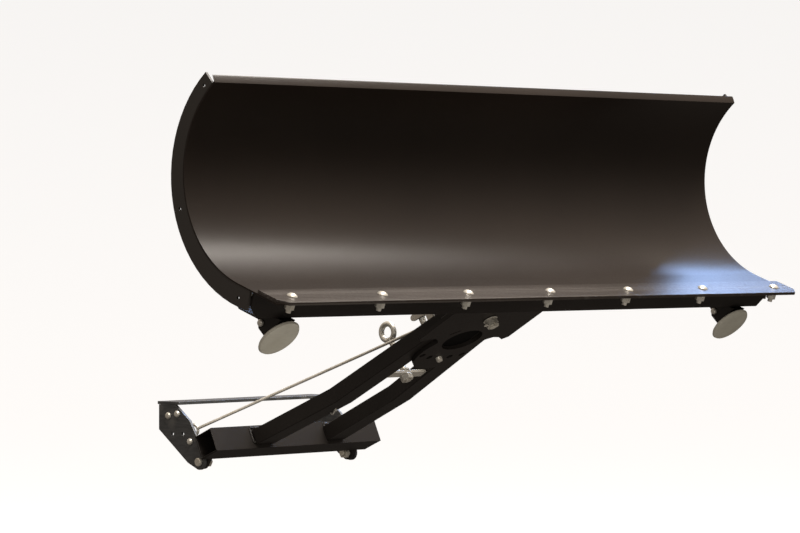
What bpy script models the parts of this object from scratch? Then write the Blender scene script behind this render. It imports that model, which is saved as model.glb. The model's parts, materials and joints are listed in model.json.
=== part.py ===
"""ATV plow blade on its push frame, metres, +Z up, blade to -Y, vehicle to +Y, raised for travel.

The origin is the centre of the bolting face on the vehicle mount bracket. Most outlines are drawn in a
flat frame of their own: CURL (round the moldboard's centre of curvature), EDGE (its straight bottom
stretch), HEAD (the plane of the swivel) and TUBE (the cross tube, in line with the lower push arms).
"""

from math import acos, atan2, cos, pi, radians, sin

import bmesh
import bpy
from mathutils import Matrix, Vector

# ---- driving dimensions -------------------------------------------------------------------------
GAP = 0.0003
BLADE_LENGTH = 1.5
HALF = BLADE_LENGTH / 2
SHEET = 0.003

EDGE_ROW = Vector((0, -0.800, 0.2197))  # cutting edge bolt row, at the middle of the blade
EDGE_SLOPE = radians(19.8)
EDGE_BEHIND_TIP = 0.0305
TIP = EDGE_ROW + Vector((0, -0.028, -0.012))
EDGE_WIDTH = 0.065
EDGE_THICK = 0.006
STRAIGHT = 0.113
SHEET_START = 0.012
BOLT_COUNT = 7
BOLT_MARGIN = 0.052
BOLT_R = 0.0048

CURL_R = 0.205
CURL_TOP = radians(-51.3)
CURL_END = pi / 2 - EDGE_SLOPE
CURL_CENTRE = EDGE_ROW + Vector((0, 0.009, 0.219))
LIP = 0.012
LIP_LEAN = radians(20)

RIB_THICK = 0.005
RIB_TOP_R = 0.234
RIB_BOTTOM_R = 0.245
RIB_END = radians(78.5)
BEAM_AT = 0.0755
BEAM_WALL = 0.004
BEAM_DEPTH = 0.052
BEAM_FLANGE = 0.048
BEAM_GAP_HALF = 0.150

HEAD_PITCH = radians(30)
HEAD_POINT = EDGE_ROW + Vector((0, 0.152, -0.0435))  # swivel axis, at the underside of the arms
SECTOR_THICK = 0.008
SWIVEL_R = 0.008
LOCK_REACH = 0.152
LOCK_STEP = radians(11)
LOCK_HOLES_EACH_SIDE = 2
PIN_R = 0.0065
PIN_TIP = 0.0165
SECTOR_TAIL = 0.197
SECTOR_TAIL_R = 0.070
ARM_FRONT = 0.034
ARM_BEND = 0.346
ARM_FRONT_X = 0.0605  # middle of each arm at its front end; the pair spreads towards the cross tube
ARM_SPREAD = 0.078
ARM_WIDTH = 0.048
ARM_TALL = 0.031
TUBE_WALL = 0.0035
HEAD_THICK = 0.008
CROSS_PLATE_AT = 0.244
CROSS_PLATE_DEPTH = 0.019

ARM_PITCH = radians(24)
TUBE_POINT = EDGE_ROW + Vector((0, 0.678, -0.298))
TUBE_SIDE = 0.048
TUBE_HALF_LENGTH = 0.236

LIFT_POINT = EDGE_ROW + Vector((0, 0.713, -0.336))
EAR_IN = 0.204
EAR_OUT = 0.212
PLATE_IN = 0.2135
PLATE_OUT = 0.2195
LIFT_BOLT_R = 0.006
MOUNT_THICK = 0.006
MOUNT_HALF_DEPTH = 0.030

HINGE = (-0.0376, 0.0331)  # trip hinge in the HEAD frame: behind the swivel axis, above the arms' underside
HINGE_R = 0.006
LUG_IN = 0.106
LUG_OUT = 0.114
CHEEK_IN = 0.116
CHEEK_OUT = 0.124
ANCHOR = (-0.0068, 0.0578)
SPRING_BAR = (0.253, 0.043)  # upper spring bar, from the centre of the curl
SPRING_X = 0.050
SPRING_R = 0.011

SHOE_X = 0.653
SHOE_POINT = EDGE_ROW + Vector((0, 0.0716, -0.0735))
SHOE_TILT = radians(44)
SHOE_R = 0.042
STEM_R = 0.008
SOCKET_R = 0.0125
SHOE_BRACKET = (  # side plates under the beam, in the EDGE frame seen from the side
    (0.0655, -0.0523),
    (0.0835, -0.0830),
    (0.0890, -0.0965),
    (0.1135, -0.0850),
    (0.1285, -0.0470),
    (0.1285, -0.0040),
    (0.1240, -0.0040),
    (0.1240, -0.0523),
)
SHOE_CHEEK_IN = 0.0145
SHOE_CHEEK_OUT = 0.0185

LEVER_PIVOT = (0.112, 0.080)
LEVER_DROP = 0.035
ROD_R = 0.003
ROD_X = -0.0302
ROD_END = EDGE_ROW + Vector((-0.192, 0.747, -0.273))

PAINT = (0.016, 0.015, 0.014)
ZINC = (0.62, 0.62, 0.60)


# ---- frames -------------------------------------------------------------------------------------
def frame(origin, first, second):
    """A matrix whose local X, Y and Z are first, second and their cross product."""
    first, second = Vector(first), Vector(second)
    columns = Matrix((first, second, first.cross(second))).transposed()
    return Matrix.Translation(origin) @ columns.to_4x4()


HEAD_BACK = (0, cos(HEAD_PITCH), -sin(HEAD_PITCH))
HEAD_UP = (0, sin(HEAD_PITCH), cos(HEAD_PITCH))
ARM_BACK = (0, cos(ARM_PITCH), -sin(ARM_PITCH))
ARM_UP = (0, sin(ARM_PITCH), cos(ARM_PITCH))
EDGE_BACK = (0, cos(EDGE_SLOPE), sin(EDGE_SLOPE))
EDGE_UP = (0, -sin(EDGE_SLOPE), cos(EDGE_SLOPE))
ACROSS = (1, 0, 0)

CURL = frame(CURL_CENTRE, (0, 1, 0), (0, 0, 1))
HEAD_PLAN = frame(HEAD_POINT, ACROSS, HEAD_BACK)
HEAD_SIDE = frame(HEAD_POINT, HEAD_BACK, HEAD_UP)
TUBE_SIDE_ON = frame(TUBE_POINT, ARM_BACK, ARM_UP)
EDGE_PLAN = frame(TIP, ACROSS, EDGE_BACK)
EDGE_SIDE = frame(TIP, EDGE_BACK, EDGE_UP)
MOUNT_PLAN = Matrix.Identity(4)
SHOE_BACK = (0, cos(SHOE_TILT), -sin(SHOE_TILT))


def polar(radius, angle):
    """A point in the CURL frame; angles grow downwards from straight back."""
    return (radius * cos(angle), -radius * sin(angle))


def arc(centre, radius, start, stop, steps):
    """Points along an arc, both ends included."""
    angles = [start + (stop - start) * i / steps for i in range(steps + 1)]
    return [(centre[0] + radius * cos(a), centre[1] + radius * sin(a)) for a in angles]


def tangent_points(centre, radius, toward, side):
    """Where a line from `toward` touches a circle, as an angle; side is +1 or -1."""
    reach = Vector(toward) - Vector(centre)
    return atan2(reach.y, reach.x) + side * acos(radius / reach.length)


# ---- materials and objects ----------------------------------------------------------------------
def material(name, colour, roughness, metallic):
    made = bpy.data.materials.new(name)
    made.use_nodes = True
    shader = made.node_tree.nodes["Principled BSDF"]
    shader.inputs["Base Color"].default_value = (*colour, 1)
    shader.inputs["Roughness"].default_value = roughness
    shader.inputs["Metallic"].default_value = metallic
    made.diffuse_color = (*colour, 1)
    return made


def painted(name):
    return material(name, PAINT, 0.45, 0.0)


def zinc(name):
    return material(name, ZINC, 0.35, 1.0)


EMPTIES = {}


def empty(name, place, parent=None):
    made = bpy.data.objects.new(name, None)
    made.empty_display_size = 0.05
    bpy.context.scene.collection.objects.link(made)
    if parent:
        made.parent = EMPTIES[parent][0]
        made.matrix_parent_inverse = EMPTIES[parent][1].inverted()
    made.matrix_basis = place
    EMPTIES[name] = (made, place)


def add(name, shape, place, parent, look=None):
    """Turns a bmesh into an object, drawn in `place` and parented to one of the axis empties."""
    bmesh.ops.recalc_face_normals(shape, faces=shape.faces)
    mesh = bpy.data.meshes.new(name)
    shape.to_mesh(mesh)
    shape.free()
    mesh.shade_smooth()
    mesh.set_sharp_from_angle(angle=radians(35))
    made = bpy.data.objects.new(name, mesh)
    bpy.context.scene.collection.objects.link(made)
    if parent:
        made.parent = EMPTIES[parent][0]
        made.matrix_parent_inverse = EMPTIES[parent][1].inverted()
    made.matrix_basis = place
    if look:
        mesh.materials.append(look(name))
    return made


def combine(target, other, operation, solver="EXACT"):
    """Adds a Boolean against a helper object, which is kept out of renders."""
    other.hide_render = True
    other.display_type = "WIRE"
    modifier = target.modifiers.new(other.name, "BOOLEAN")
    modifier.operation = operation
    modifier.object = other
    modifier.solver = solver


# ---- shapes -------------------------------------------------------------------------------------
def prism(outline, low, high):
    """An outline in the local XY plane, given thickness along local Z."""
    shape = bmesh.new()
    ring = [shape.verts.new((x, y, low)) for x, y in outline]
    face = shape.faces.new(ring)
    moved = bmesh.ops.extrude_face_region(shape, geom=[face])["geom"]
    top = [item for item in moved if isinstance(item, bmesh.types.BMVert)]
    bmesh.ops.translate(shape, vec=(0, 0, high - low), verts=top)
    return shape


def turned(profile, steps=20):
    """A closed profile of (radius, height) points turned about local Z; radius 0 ends close on the axis."""
    shape = bmesh.new()
    rings = []
    for radius, height in profile:
        if radius == 0:
            rings.append([shape.verts.new((0, 0, height))] * steps)
            continue
        turn = [2 * pi * i / steps for i in range(steps)]
        rings.append([shape.verts.new((radius * cos(a), radius * sin(a), height)) for a in turn])
    pairs = list(zip(rings, rings[1:]))
    if profile[0][0] and profile[-1][0]:
        pairs.append((rings[-1], rings[0]))
    for lower, upper in pairs:
        for i in range(steps):
            j = (i + 1) % steps
            corners = [lower[i], lower[j], upper[j], upper[i]]
            unique = list(dict.fromkeys(corners))
            if len(unique) > 2:
                shape.faces.new(unique)
    return shape


def rod(radius, low, high, steps=20):
    return turned([(0, low), (radius, low), (radius, high), (0, high)], steps)


def ring_around(radius, tube, steps=16, sides=8):
    """A closed round ring about local Z."""
    turn = [2 * pi * i / sides for i in range(sides)]
    profile = [(radius + tube * cos(a), tube * sin(a)) for a in turn]
    return turned(profile, steps)


def hexagon(across_flats):
    corner = across_flats / 2 / cos(pi / 6)
    return [(corner * cos(pi / 3 * i), corner * sin(pi / 3 * i)) for i in range(6)]


def hex_bar(across_flats, low, high):
    return prism(hexagon(across_flats), low, high)


def at(place, x=0.0, y=0.0, z=0.0):
    """The same frame moved along its own axes."""
    return place @ Matrix.Translation((x, y, z))


def cutter(name, shape, place, target):
    combine(target, add(name, shape, place, None), "DIFFERENCE")


def joined(name, shape, place, target):
    combine(target, add(name, shape, place, None), "UNION")


def hole(target, place, radius, low, high, steps=20):
    """Drills along local Z of `place`."""
    number = len(target.modifiers)
    cutter(f"{target.name}_hole_{number}", rod(radius, low, high, steps), place, target)


def head_point(back, up, x=0.0):
    """A world point from distances in the HEAD frame."""
    return HEAD_POINT + Vector((x, 0, 0)) + back * Vector(HEAD_BACK) + up * Vector(HEAD_UP)


# ---- blade --------------------------------------------------------------------------------------
def sheet_line(offset, steps=44):
    """The moldboard's section at a depth behind its front face, from lip to cutting edge."""
    radius = CURL_R + offset
    top = polar(radius, CURL_TOP)
    lip = (top[0] + LIP * sin(LIP_LEAN), top[1] + LIP * cos(LIP_LEAN))
    curve = [polar(radius, CURL_TOP + (CURL_END - CURL_TOP) * i / steps) for i in range(steps + 1)]
    end = polar(radius, CURL_END)
    run = STRAIGHT - SHEET_START
    tip = (end[0] - run * cos(EDGE_SLOPE), end[1] - run * sin(EDGE_SLOPE))
    return [lip, *curve, tip]


def bolt_positions():
    pitch = (BLADE_LENGTH - 2 * BOLT_MARGIN) / (BOLT_COUNT - 1)
    return [-HALF + BOLT_MARGIN + pitch * i for i in range(BOLT_COUNT)]


def moldboard():
    outline = sheet_line(0) + sheet_line(SHEET)[::-1]
    sheet = add("moldboard", prism(outline, -HALF, HALF), CURL, "trip_axis", painted)
    for x in bolt_positions():
        hole(sheet, at(EDGE_PLAN, x, EDGE_BEHIND_TIP), BOLT_R + GAP, -0.02, 0.02, 12)


def cutting_edge():
    corner = 0.018
    outline = [
        (-HALF, EDGE_WIDTH),
        (-HALF, corner),
        (-HALF + corner, 0),
        (HALF - corner, 0),
        (HALF, corner),
        (HALF, EDGE_WIDTH),
    ]
    bar = add("cutting_edge", prism(outline, GAP, EDGE_THICK + GAP), EDGE_PLAN, "trip_axis", painted)
    for x in bolt_positions():
        hole(bar, at(EDGE_PLAN, x, EDGE_BEHIND_TIP), BOLT_R + GAP, -0.02, 0.02, 12)


def edge_bolts():
    """Round-headed bolts with their flanged nuts, each one piece."""
    head = EDGE_THICK + 2 * GAP
    under = -SHEET - GAP
    profile = [
        (0, head + 0.0055),
        (0.0055, head + 0.0045),
        (0.0095, head + 0.0015),
        (0.0100, head),
        (BOLT_R, head),
        (BOLT_R, under - 0.001),
        (BOLT_R, under - 0.021),
        (0, under - 0.021),
    ]
    for number, x in enumerate(bolt_positions(), 1):
        place = at(EDGE_PLAN, x, EDGE_BEHIND_TIP)
        bolt = add(f"edge_bolt_{number}", turned(profile, 16), place, "trip_axis", zinc)
        nut = turned([(0.003, under), (0.0105, under), (0.0105, under - 0.003), (0.003, under - 0.003)], 16)
        joined(f"edge_bolt_{number}_flange", nut, place, bolt)
        hexes = hex_bar(0.0160, under - 0.0145, under - 0.002)
        joined(f"edge_bolt_{number}_nut", hexes, place, bolt)


def rib_inner(angle):
    """How far the sheet's back face lies from the curl's centre in this direction."""
    radius = CURL_R + SHEET + GAP
    past = max(0.0, angle - CURL_END)
    return radius / cos(past)


def end_ribs():
    top = CURL_TOP + radians(1.5)
    steps = 26
    angles = [top + (RIB_END - top) * i / steps for i in range(steps + 1)]
    inner = [polar(rib_inner(a) + 0.0001, a) for a in angles]
    outer = [
        polar(RIB_TOP_R + (RIB_BOTTOM_R - RIB_TOP_R) * i / steps, a) for i, a in enumerate(angles)
    ]
    holes = ((0.2195, radians(-45)), (0.2246, radians(16)), (0.2290, radians(72)))
    for name, side in (("left", -1), ("right", 1)):
        low, high = sorted((side * (HALF - RIB_THICK), side * HALF))
        rib = add(f"end_rib_{name}", prism(inner + outer[::-1], low, high), CURL, "trip_axis", painted)
        for radius, angle in holes:
            y, z = polar(radius, angle)
            hole(rib, at(CURL, y, z, side * HALF), 0.0032, -0.02, 0.02, 10)


def bottom_beam():
    """An angle bar behind the cutting edge, open at the middle so that the blade can trip over the swivel."""
    start = -SHEET - GAP
    outline = [
        (BEAM_AT, start),
        (BEAM_AT, -BEAM_DEPTH),
        (BEAM_AT + BEAM_FLANGE, -BEAM_DEPTH),
        (BEAM_AT + BEAM_FLANGE, -BEAM_DEPTH + BEAM_WALL),
        (BEAM_AT + BEAM_WALL, -BEAM_DEPTH + BEAM_WALL),
        (BEAM_AT + BEAM_WALL, start),
    ]
    half = HALF - 0.006
    beam = add("bottom_beam", prism(outline, -half, half), EDGE_SIDE, "trip_axis", painted)
    notch = [(0.079, -0.060), (0.140, -0.060), (0.140, -0.0401), (0.0800, -0.0401)]
    cutter("beam_notch", prism(notch, -BEAM_GAP_HALF, BEAM_GAP_HALF), EDGE_SIDE, beam)
    for name, side in (("left", -1), ("right", 1)):
        outer = side * (half + 0.01)
        triangle = [(outer, -0.060), (side * (half - 0.03), -0.060), (outer, -0.02)]
        corner = frame(TIP + 0.07 * Vector(EDGE_BACK), ACROSS, EDGE_UP)
        cutter(f"beam_corner_{name}", prism(triangle, -0.08, 0.02), corner, beam)


def curl_of_hinge():
    """The trip hinge in the CURL frame."""
    offset = head_point(*HINGE) - CURL_CENTRE
    return (offset.y, offset.z)


def centre_ribs():
    """Two ribs that carry the trip hinge below and the spring bar above."""
    hinge = curl_of_hinge()
    lower_end = polar(0.234, RIB_END - radians(1))
    upper_end = polar(0.228, radians(-30))
    low_ear = tangent_points(hinge, 0.015, lower_end, 1)
    mid = polar(0.236, radians(30))
    high_ear = tangent_points(hinge, 0.015, mid, -1)
    bar_start = tangent_points(SPRING_BAR, 0.012, mid, 1)
    bar_stop = tangent_points(SPRING_BAR, 0.012, upper_end, -1)
    steps = 24
    start = radians(-30)
    angles = [start + (RIB_END - start) * i / steps for i in range(steps + 1)]
    inner = [polar(rib_inner(a) + 0.0001, a) for a in angles]
    ear = arc(hinge, 0.015, low_ear, high_ear + (2 * pi if high_ear < low_ear else 0), 8)
    bar = arc(SPRING_BAR, 0.012, bar_start, bar_stop + (2 * pi if bar_stop < bar_start else 0), 8)
    outline = [*inner, lower_end, *ear, mid, *bar, upper_end]
    for name, side in (("left", -1), ("right", 1)):
        low, high = sorted((side * LUG_IN, side * LUG_OUT))
        rib = add(f"centre_rib_{name}", prism(outline, low, high), CURL, "trip_axis", painted)
        middle = side * (LUG_IN + LUG_OUT) / 2
        hole(rib, at(CURL, hinge[0], hinge[1], middle), HINGE_R + 0.0003, -0.02, 0.02)
        hole(rib, at(CURL, SPRING_BAR[0], SPRING_BAR[1], middle), 0.0053, -0.02, 0.02, 12)


def spring_bar():
    place = at(CURL, *SPRING_BAR)
    reach = LUG_OUT + 0.004
    profile = [
        (0, -reach - 0.005),
        (0.009, -reach - 0.005),
        (0.009, -LUG_OUT - GAP),
        (0.005, -LUG_OUT - GAP),
        (0.005, LUG_OUT + GAP),
        (0.009, LUG_OUT + GAP),
        (0.009, reach + 0.005),
        (0, reach + 0.005),
    ]
    add("spring_bar", turned(profile, 16), place, "trip_axis", zinc)


def shoe_frame(side):
    """Z up the stem, from the middle of the disc's lower face."""
    return frame(SHOE_POINT + Vector((side * SHOE_X, 0, 0)), ACROSS, SHOE_BACK)


def skid_shoes():
    disc = [
        (0, 0.0015),
        (0.026, 0.0010),
        (0.034, 0),
        (0.040, 0.0012),
        (SHOE_R, 0.0045),
        (0.040, 0.0070),
        (0.028, 0.0072),
        (0.012, 0.0125),
        (STEM_R, 0.018),
        (STEM_R, 0.132),
        (0.0065, 0.134),
        (0, 0.134),
    ]
    socket = [(SOCKET_R, 0.024), (SOCKET_R, 0.098), (STEM_R + GAP, 0.098), (STEM_R + GAP, 0.024)]
    for name, side in (("left", -1), ("right", 1)):
        place = shoe_frame(side)
        add(f"skid_shoe_{name}", turned(disc, 32), place, f"shoe_axis_{name}", zinc)
        holder = add(f"shoe_socket_{name}", turned(socket), place, "trip_axis", painted)
        wide = SHOE_CHEEK_OUT
        web = prism([(-wide, -0.020), (wide, -0.020), (wide, 0.003), (-wide, 0.003)], 0.029, 0.034)
        joined(f"shoe_web_{name}", web, place, holder)
        sheet_side = at(EDGE_SIDE, 0, 0, side * SHOE_X)
        for number, low in enumerate((-SHOE_CHEEK_OUT, SHOE_CHEEK_IN)):
            high = low + SHOE_CHEEK_OUT - SHOE_CHEEK_IN
            joined(f"shoe_cheek_{name}_{number}", prism(SHOE_BRACKET, low, high), sheet_side, holder)
        cutter(f"shoe_bore_{name}", rod(STEM_R + GAP, 0.0, 0.16), place, holder)
        bolt_place = place @ Matrix.Translation((0, 0, 0.0405)) @ Matrix.Rotation(-pi / 2, 4, "Y")
        hole(holder, bolt_place, 0.0034, 0.004, 0.03, 12)
        clamp = [
            (0, 0.0088),
            (0.003, 0.0088),
            (0.003, SHOE_CHEEK_OUT + GAP),
            (0.0065, SHOE_CHEEK_OUT + GAP),
            (0.0065, 0.0225),
            (0.0050, 0.0242),
            (0, 0.0248),
        ]
        add(f"shoe_clamp_{name}", turned(clamp, 12), bolt_place, "trip_axis", zinc)


# ---- swivel -------------------------------------------------------------------------------------
def sector_outline():
    """Half of the sector plate's edge, from the front middle round to the tail."""
    tail_at = SECTOR_TAIL - SECTOR_TAIL_R
    return [
        (0.105, -0.034),
        (0.1155, -0.038),
        (0.1155, -0.060),
        (0.1260, -0.060),
        (0.1280, -0.020),
        (0.1280, 0.074),
        (0.1170, 0.084),
        (0.1000, 0.075),
        (0.0830, 0.074),
        (0.0700, 0.082),
        *arc((0, tail_at), SECTOR_TAIL_R, radians(-30), pi / 2, 12),
    ]


def sector_plate():
    right = sector_outline()
    left = [(-x, y) for x, y in right[::-1][1:]]
    shape = prism(right + left, -SECTOR_THICK - GAP, -GAP)
    plate = add("sector_plate", shape, HEAD_PLAN, "swivel_axis", painted)
    hole(plate, HEAD_PLAN, SWIVEL_R + GAP, -0.03, 0.03)
    for step in range(-LOCK_HOLES_EACH_SIDE, LOCK_HOLES_EACH_SIDE + 1):
        x, y = LOCK_REACH * sin(step * LOCK_STEP), LOCK_REACH * cos(step * LOCK_STEP)
        hole(plate, at(HEAD_PLAN, x, y), PIN_R + GAP, -0.03, 0.03, 16)
    oval = [(x * 0.046, 0.082 + y * 0.038) for x, y in arc((0, 0), 1, 0, 2 * pi * 23 / 24, 23)]
    cutter("sector_opening", prism(oval, -0.03, 0.03), HEAD_PLAN, plate)
    slit = [(-0.0600, 0.0570), (-0.0430, 0.0420), (-0.0405, 0.0450), (-0.0575, 0.0600)]
    cutter("sector_slit", prism(slit, -0.03, 0.03), HEAD_PLAN, plate)


def yoke_cheeks():
    """Side plates that stand on the sector plate and carry the trip hinge and the spring anchor."""
    outline = [
        (-0.059, GAP),
        (0.012, GAP),
        (0.008, 0.030),
        *arc(ANCHOR, 0.0125, -pi * 0.15, pi * 0.62, 8),
        *arc(HINGE, 0.016, pi * 0.62, pi * 1.02, 6),
    ]
    for name, side in (("left", -1), ("right", 1)):
        low, high = sorted((side * CHEEK_IN, side * CHEEK_OUT))
        cheek = add(f"yoke_cheek_{name}", prism(outline, low, high), HEAD_SIDE, "swivel_axis", painted)
        middle = side * (CHEEK_IN + CHEEK_OUT) / 2
        hole(cheek, at(HEAD_SIDE, *HINGE, middle), HINGE_R + GAP, -0.02, 0.02)
        hole(cheek, at(HEAD_SIDE, *ANCHOR, middle), 0.0053, -0.02, 0.02, 12)


def cross_bolt(name, radius, head_radius, reach, place, parent):
    """A headed pin with a nut at the far end, turned as one piece, across the machine."""
    profile = [
        (0, -reach - 0.006),
        (head_radius, -reach - 0.006),
        (head_radius, -reach),
        (radius, -reach),
        (radius, reach),
        (head_radius, reach),
        (head_radius, reach + 0.0065),
        (radius, reach + 0.0065),
        (radius, reach + 0.009),
        (0, reach + 0.009),
    ]
    return add(name, turned(profile, 18), place, parent, zinc)


def trip_springs():
    """Tension springs from the anchor bolt up to the spring bar, as tubes with an eye at each end."""
    low = head_point(*ANCHOR)
    high = CURL_CENTRE + Vector((0, *SPRING_BAR))
    run = (high - low).length
    direction = (high - low).normalized()
    sideways = Vector(ACROSS)
    for name, side in (("left", -1), ("right", 1)):
        place = frame(low + sideways * side * SPRING_X, sideways, direction.cross(sideways))
        body = add(f"trip_spring_{name}", rod(SPRING_R, 0.022, run - 0.022, 16), place, "swivel_axis", zinc)
        for number, height in enumerate((0.0, run)):
            eye = at(place, 0, 0, height) @ Matrix.Rotation(pi / 2, 4, "Y")
            joined(f"trip_spring_{name}_eye_{number}", ring_around(0.0085, 0.0025, 16, 8), eye, body)
            inward = 1 if number == 0 else -1
            neck = [height + inward * 0.0085, height + inward * 0.026]
            joined(
                f"trip_spring_{name}_neck_{number}", rod(0.0028, min(neck), max(neck), 8), place, body
            )


# ---- push frame ---------------------------------------------------------------------------------
def arm_middle(back):
    """Sideways distance of an arm's middle at a distance behind the swivel axis."""
    return ARM_FRONT_X + (back - ARM_FRONT) * ARM_SPREAD


def inner_edge(back):
    return arm_middle(back) - ARM_WIDTH / 2 - 0.0006


def push_arms():
    """Rectangular tubes with one bend, closer together at the front than at the cross tube."""
    front = head_point(ARM_FRONT, GAP)
    bend = head_point(ARM_BEND, GAP)
    back_along = Vector(ARM_BACK)
    tube_front = TUBE_POINT - (TUBE_SIDE / 2 + GAP) * back_along
    rise = Vector(ARM_UP)
    run = (tube_front - bend).dot(back_along)
    rear = bend + run * back_along
    mitre = (Vector(HEAD_UP) + rise).normalized()
    stretch = 1 / mitre.dot(rise)
    stations = (
        (front, Vector(HEAD_UP), arm_middle(ARM_FRONT)),
        (bend, mitre * stretch, arm_middle(ARM_BEND)),
        (rear, rise, arm_middle(ARM_BEND + run)),
    )
    for name, side in (("left", -1), ("right", 1)):
        shape = bmesh.new()
        rings = []
        for inset in (0.0, TUBE_WALL):
            rings.append([])
            half = ARM_WIDTH / 2 - inset
            low, high = inset, ARM_TALL - inset
            for foot, up, middle in stations:
                near, far = side * (middle - half), side * (middle + half)
                corners = ((near, low), (far, low), (far, high), (near, high))
                rings[-1].append([shape.verts.new(foot + Vector((x, 0, 0)) + up * h) for x, h in corners])
        for ring_set in rings:
            for first, second in zip(ring_set, ring_set[1:]):
                for i in range(4):
                    j = (i + 1) % 4
                    shape.faces.new((first[i], first[j], second[j], second[i]))
        for end in (0, -1):
            outer, inner = rings[0][end], rings[1][end]
            for i in range(4):
                j = (i + 1) % 4
                shape.faces.new((outer[i], outer[j], inner[j], inner[i]))
        add(f"push_arm_{name}", shape, Matrix.Identity(4), "lift_axis", painted)


def cross_tube():
    half = TUBE_SIDE / 2
    square = [(-half, -half), (half, -half), (half, half), (-half, half)]
    bar = prism(square, -TUBE_HALF_LENGTH, TUBE_HALF_LENGTH)
    tube = add("cross_tube", bar, TUBE_SIDE_ON, "lift_axis", painted)
    inner = half - TUBE_WALL
    bore = [(-inner, -inner), (inner, -inner), (inner, inner), (-inner, inner)]
    cutter("cross_tube_bore", prism(bore, -0.3, 0.3), TUBE_SIDE_ON, tube)


def pivot_ears():
    """Plates behind the cross tube that hang on the lift bolts."""
    axis = LIFT_POINT - TUBE_POINT
    pivot = (axis.dot(Vector(ARM_BACK)), axis.dot(Vector(ARM_UP)))
    edge = TUBE_SIDE / 2 + GAP
    angle_top = tangent_points(pivot, 0.014, (edge, 0.020), -1)
    angle_low = tangent_points(pivot, 0.014, (edge, -0.0225), 1)
    round_end = arc(pivot, 0.014, angle_low, angle_top, 10)
    outline = [(edge, 0.020), (edge, -0.0225), *round_end]
    for name, side in (("left", -1), ("right", 1)):
        low, high = sorted((side * EAR_IN, side * EAR_OUT))
        ear = add(f"pivot_ear_{name}", prism(outline, low, high), TUBE_SIDE_ON, "lift_axis", painted)
        hole(ear, at(TUBE_SIDE_ON, *pivot, side * EAR_IN), LIFT_BOLT_R + GAP, -0.03, 0.03)


def head_plate():
    """Between the arms, under the lock pin and the swivel bolt."""
    front, rear = ARM_FRONT, 0.176
    nose = arc((0, 0), 0.034, pi, 2 * pi, 12)
    half, rear_half = inner_edge(front), inner_edge(rear)
    outline = [*nose, (half, front), (rear_half, rear), (-rear_half, rear), (-half, front)]
    plate = add("head_plate", prism(outline, GAP, HEAD_THICK + GAP), HEAD_PLAN, "lift_axis", painted)
    hole(plate, HEAD_PLAN, SWIVEL_R + GAP, -0.03, 0.03)
    hole(plate, at(HEAD_PLAN, 0, LOCK_REACH), PIN_R + GAP, -0.03, 0.03, 16)


def cross_plate():
    deep = CROSS_PLATE_DEPTH / 2
    front, rear = inner_edge(CROSS_PLATE_AT - deep), inner_edge(CROSS_PLATE_AT + deep)
    outline = [(-front, -deep), (front, -deep), (rear, deep), (-rear, deep)]
    place = at(HEAD_PLAN, 0, CROSS_PLATE_AT)
    plate = add("cross_plate", prism(outline, 0.004, 0.010), place, "lift_axis", zinc)
    hole(plate, place, 0.0063, -0.03, 0.03, 16)


def lifting_eye():
    """An eye bolt through the cross plate; the lifting rope hooks in its ring."""
    place = at(HEAD_PLAN, 0, CROSS_PLATE_AT)
    shank = turned([(0, -0.010), (0.006, -0.010), (0.006, 0.0103), (0.011, 0.0103), (0.011, 0.0143),
                    (0.006, 0.0143), (0.006, 0.086), (0, 0.086)], 16)
    bolt = add("lifting_eye", shank, place, "lift_axis", zinc)
    ring = at(place, 0, 0, 0.0985) @ Matrix.Rotation(pi / 2, 4, "Y")
    joined("lifting_eye_ring", ring_around(0.0165, 0.0055, 24, 10), ring, bolt)
    nut = add("lifting_eye_nut", hex_bar(0.022, -0.0075, 0.0037), place, "lift_axis", zinc)
    hole(nut, place, 0.0063, -0.03, 0.03, 16)


def swivel_bolt():
    top = HEAD_THICK + 2 * GAP
    profile = [
        (0, top + 0.009),
        (0.013, top + 0.009),
        (0.013, top),
        (SWIVEL_R, top),
        (SWIVEL_R, -0.026),
        (0, -0.026),
    ]
    add("swivel_bolt", turned(profile, 20), HEAD_PLAN, "lift_axis", zinc)
    under = -SECTOR_THICK - 2 * GAP
    hole_r = SWIVEL_R + GAP
    washer = [(hole_r, under), (0.0145, under), (0.0145, under - 0.002), (hole_r, under - 0.002)]
    add("swivel_washer", turned(washer, 20), HEAD_PLAN, "lift_axis", zinc)
    nut_top = under - 0.002 - GAP
    nut = add("swivel_nut", hex_bar(0.0225, nut_top - 0.013, nut_top), HEAD_PLAN, "lift_axis", zinc)
    hole(nut, HEAD_PLAN, hole_r, -0.05, 0.03)
    slot = [(-0.02, -0.002), (0.02, -0.002), (0.02, 0.002), (-0.02, 0.002)]
    for turn in range(3):
        across = HEAD_PLAN @ Matrix.Rotation(turn * pi / 3, 4, "Z")
        cutter(f"swivel_nut_slot_{turn}", prism(slot, nut_top - 0.02, nut_top - 0.009), across, nut)


def lock_pin():
    """The pin, its housing on the head plate, and the spring inside the housing."""
    place = at(HEAD_PLAN, 0, LOCK_REACH)
    base = HEAD_THICK + 2 * GAP
    pin = [
        (0, -PIN_TIP),
        (0.005, -PIN_TIP),
        (PIN_R, -PIN_TIP + 0.003),
        (PIN_R, base + GAP),
        (0.0095, base + GAP),
        (0.0095, base + 0.004),
        (PIN_R, base + 0.004),
        (PIN_R, 0.083),
        (0.012, 0.083),
        (0.012, 0.089),
        (0, 0.089),
    ]
    add("lock_pin", turned(pin, 16), place, "lock_axis", zinc)
    house = [
        (0.0103, base),
        (0.0150, base),
        (0.0150, 0.056),
        (PIN_R + GAP, 0.056),
        (PIN_R + GAP, 0.051),
        (0.0103, 0.051),
    ]
    add("lock_pin_housing", turned(house, 18), place, "lift_axis", painted)
    coil = [(PIN_R + GAP, 0.0130), (0.0095, 0.0130), (0.0095, 0.0505), (PIN_R + GAP, 0.0505)]
    add("lock_pin_spring", turned(coil, 16), place, "lift_axis", zinc)


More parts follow.
